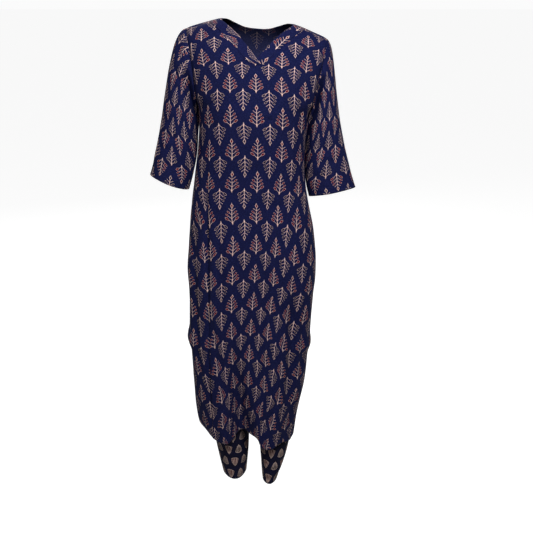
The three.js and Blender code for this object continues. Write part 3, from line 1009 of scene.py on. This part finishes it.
for name, side in (("neckband_right", -1), ("neckband_left", 1)):
    points = neck_band(side)
    place = flat_cloth(points)
    hang = band_print[name]
    from_v = place[..., -1:, 0] - place[..., 0]
    columns = (place[..., 1] - hang["across"]) / spray_across + hang["turned"]
    rows = hang["up"] * (hang["from_v"] - from_v) / spray_up + hang["turned"]
    to_edges = np.minimum(place[..., 1], place[-1:, :, 1] - place[..., 1])
    maps = {
        "cloth": place / 1000,
        "print": np.stack([columns, rows], axis=-1),
        "hem": np.stack([to_edges - band_stitch, place[..., 0]], axis=-1) / 1000,
    }
    push = slack(place[..., 0] + 60 * side, place[..., 1], band_slack)
    push = push - crease_depth(band_creases, place[..., 0], place[..., 1])
    piece = cloth_mesh(name, pushed_out(points, push, side > 0), maps, side > 0, kurti_cotton)
    piece.modifiers["cloth thickness"].thickness = band_thickness / 1000
    cloth_area(points)

# Sleeves: one straight-cut tube each, set into the armholes and hemmed just below the elbow, where
# they hang away from the body a little. They are cut upside down on the print.
sleeves = {
    "sleeve_right": {
        "side": -1,
        "hem": {"x": -243.5, "y": -14, "z": -435, "half": 51, "depth": 53},
        "rise": {"outer": 18, "front": 3},
        "cap": {"out": 0.97, "run": 54, "under_out": 0.12},
        "cuff": {"lean": 0.3, "run": 172},
        "print": {"column": 57, "drift": 0, "row": 37},
    },
    "sleeve_left": {
        "side": 1,
        "hem": {"x": 209.5, "y": -14, "z": -436, "half": 62, "depth": 50},
        "rise": {"outer": 17, "front": 7},
        "cap": {"out": 0.7, "run": 40, "under_out": 0.03},
        "cuff": {"lean": 0.32, "run": 250},
        "print": {"column": 76, "drift": 0.11, "row": 27},
    },
}
under_run = 70
under_cuff_run = 90
under_cuff_lean = 0.12
cap_roundness = 0.12
cuff_forward = 0.05
armhole_overlap = 0.2
armhole_steps = 44
sleeve_across = 64
sleeve_up = 75.5
sleeve_stitch = 19
sleeve_slack = 0.6
cuff_ripple = 1.3
armhole_margin = 16
tuck_margin = 20
sleeve_seam_margin = 14

# On its inner side each sleeve bulges towards the body, and a deep fold runs down from the armpit.
inner_slack = table(
    "v sleeve_right sleeve_left",
    [
        (0, 3, 3),
        (35, 9, 8),
        (85, 13, 11),
        (125, 11.5, 10),
        (160, 8, 8),
        (190, 6.5, 5.5),
        (225, 2, 1.5),
        (260, 0, 0),
    ],
)
inner_reach = 100
armpit_folds = {
    "sleeve_right": table(crease_columns, [(100, 300, 262, 160, 13, 30)]),
    "sleeve_left": table(crease_columns, [(92, 316, 262, 150, 14, 32)]),
}
sleeve_creases = {
    "sleeve_right": table(
        crease_columns,
        [
            (40, 300, 110, 262, 9, 4.2),
            (62, 262, 128, 236, 8, 3.5),
            (30, 352, 72, 318, 10, 2.9),
            (16, 150, 96, 178, 9, 3.5),
            (40, 118, 120, 132, 8, 3.8),
            (24, 84, 104, 92, 9, 2.9),
            (84, 210, 150, 168, 9, 3.8),
            (62, 40, 124, 62, 10, 2.2),
            (104, 20, 98, 150, 10, 3.2),
            (20, 30, 22, 120, 12, -2.6),
            (-30, 140, -120, 160, 10, 3.5),
            (-40, 106, -130, 100, 9, 3.2),
            (-24, 190, -96, 214, 10, 2.9),
            (-60, 300, -120, 250, 10, 3.5),
            (-70, 30, -66, 130, 12, 2.9),
        ],
    ),
    "sleeve_left": table(
        crease_columns,
        [
            (50, 320, 116, 268, 9, 4.5),
            (78, 288, 136, 232, 8, 4.2),
            (96, 250, 150, 190, 8, 3.5),
            (28, 150, 104, 170, 9, 2.9),
            (60, 118, 150, 128, 9, 3.5),
            (36, 88, 120, 84, 9, 2.6),
            (118, 210, 122, 60, 11, 3.5),
            (72, 230, 82, 90, 12, -2.6),
            (90, 44, 160, 60, 10, 2.6),
            (24, 210, 30, 60, 12, 2.2),
            (-34, 146, -124, 150, 10, 3.5),
            (-40, 110, -130, 120, 9, 2.9),
            (-30, 200, -104, 226, 10, 3.2),
            (-64, 306, -124, 258, 10, 3.5),
            (-70, 26, -72, 128, 12, 2.9),
        ],
    ),
}


def sleeve_points(shape, rows=150):
    """Points of a sleeve: lines from the armhole edge to the hem, round from the underarm and back."""
    side, hem, rise, cap, cuff = [shape[part] for part in ("side", "hem", "rise", "cap", "cuff")]
    up = np.linspace(1, 0, armhole_steps + 1)
    ends = np.full(up.shape, float(side))
    front_edge = yoke_column_point("front", ends, up)
    back_edge = yoke_column_point("back", ends, up)[::-1]
    start = np.concatenate([front_edge[-1:], back_edge[1:-1], front_edge])
    count = len(start) - 1
    start[:, 0] -= side * armhole_overlap
    angle = np.pi + 2 * np.pi * np.arange(count + 1) / count
    under = 0.5 * (1 - np.cos(angle))
    end = points_of(
        hem["x"] + side * hem["half"] * np.cos(angle),
        hem["y"] - hem["depth"] * np.sin(angle),
        hem["z"] + rise["outer"] * np.cos(angle) + rise["front"] * np.sin(angle),
    )
    outwards = mix(cap["out"], cap["under_out"], under)
    leave = points_of(side * outwards, -cap_roundness * np.sin(angle), -np.sqrt(1 - outwards**2))
    first_handle = start + leave * mix(cap["run"], under_run, under)[:, None]
    arrive = points_of(-side * mix(cuff["lean"], under_cuff_lean, under), cuff_forward, 1)
    arrive /= np.linalg.norm(arrive, axis=-1, keepdims=True)
    second_handle = end + arrive * mix(cuff["run"], under_cuff_run, under)[:, None]
    t = np.linspace(1, 0, rows + 1)[:, None, None]
    near = (1 - t) ** 3 * start + 3 * t * (1 - t) ** 2 * first_handle
    return lean(near + 3 * t * t * (1 - t) * second_handle + t**3 * end)


for name, shape in sleeves.items():
    points = sleeve_points(shape)
    place = flat_cloth(points)
    u, v = place[..., 0], place[..., 1]
    hang = shape["print"]
    columns = (u + hang["drift"] * v - hang["column"]) / sleeve_across
    maps = {
        "cloth": place / 1000,
        "print": np.stack([columns, (hang["row"] - v) / sleeve_up], axis=-1),
        "hem": np.stack([v - sleeve_stitch, u], axis=-1) / 1000,
    }
    to_armhole = v[-1:] - v
    off_seam = smooth_step(to_sides(u) / sleeve_seam_margin)
    push = slack(u + 40 * shape["side"], v, sleeve_slack) - crease_depth(sleeve_creases[name], u, v)
    push = push * smooth_step(to_armhole / armhole_margin) - seam_dip * dip(to_armhole, seam_width)
    push = push + cuff_ripple * np.sin(u / 14 + 0.6) * np.exp(-v / 30)
    worn = pushed_out(points, push * off_seam, shape["side"] < 0)
    bulge = column_at(inner_slack, name, v, key="v") * smooth_step(1 - to_sides(u) / inner_reach)
    tucked = crease_depth(armpit_folds[name], u, v) * smooth_step(to_armhole / tuck_margin) * off_seam
    worn = worn + points_of(-shape["side"] * bulge, tucked, 0)
    piece = cloth_mesh(name, worn, maps, shape["side"] < 0, kurti_cotton)
    cloth_area(points)

# Pants: narrow legs, each cut as a front and a back, joined at the sides, the inner legs and the
# middle. They hang close to the legs and end above the ankles. The cotton has its own leaf print.
pants_top_z = -430
pants_hem_z = -1382
fork_top_z = -585
crotch_z = -725
hem_dip = {"right": 11, "left": 8}
waistband_height = 34
leg_outline = table(
    "z right_out right_in left_in left_out front back right_y left_y",
    [
        (-1400, -107, -35, 18, 61, 48, 50, 4, -24),
        (-1296, -128, -26, 11, 94, 54, 55, 4, -18),
        (-1180, -146, -24, 2, 113, 60, 63, 4, -12),
        (-1000, -164, -22, -8, 130, 70, 74, 3, -4),
        (-860, -180, -20, -14, 142, 80, 84, 2, 0),
        (-760, -189, -18.5, -15.5, 154, 90, 94, 0, 0),
        (-685, -199.2, -16.2, -15.8, 167.2, 96, 98, 0, 0),
        (-600, -189, -16.2, -15.8, 158, 98, 94, 0, 0),
        (-500, -164, -16.2, -15.8, 133, 95, 82, 0, 0),
        (-430, -146, -16.2, -15.8, 114, 90, 74, 0, 0),
    ],
)
leg_stitch = 14
leg_slack = 0.5
leg_margin = 16
leg_seam_dip = 0.7
leg_seam_width = 4
leg_ripple = 0.9
print_shift = {"right": 11, "left": -9}
print_lift = 20
crease_shift = 14
leg_creases = table(
    crease_columns,
    [
        (-40, 26, 52, 40, 7, 2.7),
        (-56, 58, 38, 70, 8, 3),
        (-30, 96, 60, 88, 8, 2.4),
        (-50, 150, 30, 132, 10, 2.1),
        (-20, 330, 64, 306, 11, 3.3),
        (-60, 372, 20, 350, 11, 3),
        (10, 410, 76, 396, 10, 2.4),
        (-54, 470, -50, 640, 14, 2.4),
        (40, 520, 46, 760, 14, 2.4),
        (70, 640, 0, 700, 9, 3),
        (60, 600, -30, 650, 10, 2.4),
        (0, 790, 8, 900, 12, 2.1),
    ],
)


# The pants' print: broad leaves with a rounded top, a light outline, a midrib and a vein on each side.
# They stand in offset rows, 94 mm from one row to the next like it. Sizes are in millimetres.
leaf_across = 66
leaf_up = 94
leaf_wobble = 1.2
leaf_top = 15
leaf_foot = -15
leaf_half = 12.5
leaf_widening = 0.45
leaf_rounding = 0.03
midrib_half = 0.8
midrib_middle = -3
midrib_reach = 15
vein_half = 0.85
vein_place = 0.5
side_outline = 1.5
top_outline = 1.8


def broad_leaves(start, wobble):
    """Filled leaves in two dusty browns, every other one upside down, with lighter veins."""
    across, up = start.map_place("print")
    x = abs(across - round(across)) * leaf_across / 2 + (wobble - 0.5) * leaf_wobble
    y = (up - round(up)) * leaf_up + (wobble - 0.5) * leaf_wobble
    second = (x / (leaf_across / 4) + abs(y) / (leaf_up / 2)) > 1
    column = round(across) + (math.floor(across) - round(across)) * second
    upside = column.pingpong(1) > 0.5
    x = abs(x + (leaf_across / 4 - 2 * x) * second)
    y = (y - y.sign() * (leaf_up / 2) * second) * (1 - 2 * upside)
    grown = ((y - leaf_foot) / (leaf_top - leaf_foot)).highest(0.001)
    width = grown**leaf_widening * leaf_half
    top = leaf_top - x * x * leaf_rounding
    body = (width - x).mask(0.9) * (top - y).mask(0.9) * (y > leaf_foot)
    midrib = (midrib_half - x).mask(1.4) * (abs(y - midrib_middle) < midrib_reach)
    vein = (vein_half - abs(x - width * vein_place)).mask(1.4)
    outline = (side_outline - (width - x)).mask(1.2).highest((top_outline - (top - y)).mask(1.2))
    veins = midrib.highest(vein).highest(outline) * body.highest(midrib)
    return veins, body * (1 - veins), 1 - upside


leaf_colours = [(0.60, 0.44, 0.38), (0.050, 0.040, 0.045), (0.10, 0.034, 0.036)]
dark_navy = (0.0042, 0.0044, 0.0165)
pants_cotton = [
    cotton("pants cotton", dark_navy, leaf_colours, False, broad_leaves),
    cotton("pants cotton wrong side", (0.018, 0.02, 0.045), leaf_colours, True, broad_leaves),
]


def pants_point(leg, face, across, z):
    """Half of a leg, opening out above the fork to a quarter of the hips."""
    out_x = column_at(leg_outline, f"{leg}_out", z)
    in_x = column_at(leg_outline, f"{leg}_in", z)
    closing = smooth_step((fork_top_z - z) / (fork_top_z - crotch_z))
    radius = (in_x - out_x) / (1 + np.sin(0.5 * np.pi * closing))
    angle = mix(-0.5 * np.pi, 0.5 * np.pi * closing, across)
    x = out_x + radius * (1 + np.sin(angle))
    depth = column_at(leg_outline, face, z) * np.cos(angle) - 0.5 * seam_overlap
    y = column_at(leg_outline, f"{leg}_y", z) + (-depth if face == "front" else depth)
    return points_of(x, y, z)


def pants_panel(leg, face, columns=40, rows=210):
    across = np.linspace(0, 1, columns + 1)[None, :]
    dip = hem_dip[leg] * np.sin(np.pi * across) if face == "front" else 0 * across
    up = np.linspace(0, 1, rows + 1)[:, None]
    return lean(pants_point(leg, face, across, mix(pants_hem_z - dip, pants_top_z, up)))


for leg in ("right", "left"):
    for face in ("front", "back"):
        points = pants_panel(leg, face)
        place = flat_cloth(points)
        u, v = place[..., 0], place[..., 1]
        hand = 1 if (leg == "right") == (face == "front") else -1
        columns = (u + print_shift[leg]) * 2 / leaf_across
        maps = {
            "cloth": place / 1000,
            "print": np.stack([columns, (v - print_lift) / leaf_up], axis=-1),
            "hem": np.stack([v - leg_stitch, u], axis=-1) / 1000,
        }
        off_seam = smooth_step(to_sides(u) / leg_margin)
        push = slack(u + 70 * hand, v, leg_slack)
        push = push - crease_depth(leg_creases, hand * u, v - crease_shift * hand)
        push = push * off_seam - leg_seam_dip * dip(to_sides(u), leg_seam_width)
        push = push + leg_ripple * np.sin(u / 10 + hand) * np.exp(-v / 24) * off_seam
        worn = pushed_out(points, push, hand > 0)
        piece = cloth_mesh(f"pants_{leg}_{face}", worn, maps, hand > 0, pants_cotton)
        cloth_area(points)

# Waistband: a doubled strip of the pants' cotton, gathered on its elastic all round.
gathers = 62
gather_drift = 9
gather_height = 0.9
edge_gather = 0.35
edge_width = 6
waistband_stitch = 5
waistband_stretch = 2.6


def waistband_points(columns=110, rows=10):
    quarter = np.linspace(0, 1, columns + 1)[:-1]
    ring = np.concatenate(
        [
            pants_point("right", "front", quarter, pants_top_z),
            pants_point("left", "front", 1 - quarter, pants_top_z),
            pants_point("left", "back", quarter, pants_top_z),
            pants_point("right", "back", 1 - quarter, pants_top_z),
        ]
    )
    ring = np.concatenate([ring, ring[:1]])
    points = np.repeat(ring[None], rows + 1, axis=0)
    heights = np.linspace(pants_top_z - seam_overlap, pants_top_z + waistband_height, rows + 1)
    points[..., 2] = heights[:, None]
    return lean(points)


points = waistband_points()
place = flat_cloth(points)
u, v = place[..., 0], place[..., 1]
round_share = (u - u[:, :1]) / (u[:, -1:] - u[:, :1])
drift = 0.8 * np.sin(2 * np.pi * gather_drift * round_share)
gather = np.sin(2 * np.pi * gathers * round_share + drift)
inside = smooth_step(v / edge_width) * smooth_step((waistband_height - v) / edge_width)
push = gather_height * (gather - 1) * mix(edge_gather, 1, inside)
maps = {
    "cloth": place / 1000,
    "print": np.stack([u * waistband_stretch / leaf_across, v / leaf_up], axis=-1),
    "hem": np.stack([np.minimum(v, waistband_height - v) - waistband_stitch, u], axis=-1) / 1000,
}
piece = cloth_mesh("pants_waistband", pushed_out(points, push, True), maps, True, pants_cotton)
cloth_area(points)

# Floor: a pale sheet that runs out of sight. It glows by itself, so that it is as even as the
# backdrop, and it sends no light up under the hems.
floor_z = -1.5
floor_half = 400
floor_glow = 0.915
floor_mesh = bmesh.new()
bmesh.ops.create_grid(floor_mesh, x_segments=1, y_segments=1, size=floor_half)
floor_data = bpy.data.meshes.new("floor")
floor_mesh.to_mesh(floor_data)
floor_mesh.free()
floor = bpy.data.objects.new("floor", floor_data)
floor.location = (0, 0, floor_z)
floor.visible_diffuse = False
bpy.context.scene.collection.objects.link(floor)
floor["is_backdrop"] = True
pale = bpy.data.materials.new("pale floor")
pale.use_nodes = True
pale_shader = pale.node_tree.nodes["Principled BSDF"]
pale_shader.inputs["Base Color"].default_value = (0.3, 0.3, 0.3, 1)
pale_shader.inputs["Specular IOR Level"].default_value = 0
pale_shader.inputs["Emission Color"].default_value = (1, 1, 1, 1)
pale_shader.inputs["Emission Strength"].default_value = floor_glow
floor_data.materials.append(pale)

# Studio light: a pale backdrop that lights the cloth only weakly, a main light above the front on the
# wearer's left, a fill light from the other side, and a back light for the views from behind.
backdrop_brightness = 0.965
backdrop_light = 0.08
light_aim = Vector((0, 0, -0.35))
world = bpy.data.worlds.new("studio")
world.use_nodes = True
bpy.context.scene.world = world
background = world.node_tree.nodes["Background"]
background.inputs["Color"].default_value = (1, 1, 1, 1)
lit = Shade(world.node_tree)
seen = lit.node("ShaderNodeLightPath", {}, {})
world_strength = seen * (backdrop_brightness - backdrop_light) + backdrop_light
world.node_tree.links.new(world_strength.socket, background.inputs["Strength"])

studio_lights = {
    "main light": {"place": (0.55, -1.75, 1.3), "size": 0.8, "power": 73},
    "fill light": {"place": (-1.5, -1.8, 0.7), "size": 1.4, "power": 15},
    "back light": {"place": (-0.7, 2.2, 1.2), "size": 1.6, "power": 80},
}
for title, setting in studio_lights.items():
    lamp = bpy.data.lights.new(title, "AREA")
    lamp.size = setting["size"]
    lamp.energy = setting["power"]
    light = bpy.data.objects.new(title, lamp)
    light.location = setting["place"]
    light.rotation_euler = (light_aim - light.location).to_track_quat("-Z", "Y").to_euler()
    bpy.context.scene.collection.objects.link(light)
bpy.context.scene.view_settings.view_transform = "Standard"

visual_low, visual_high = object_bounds()
sizes = {"cad": [list(cad_low), list(cad_high)], "visual": [list(visual_low), list(visual_high)]}
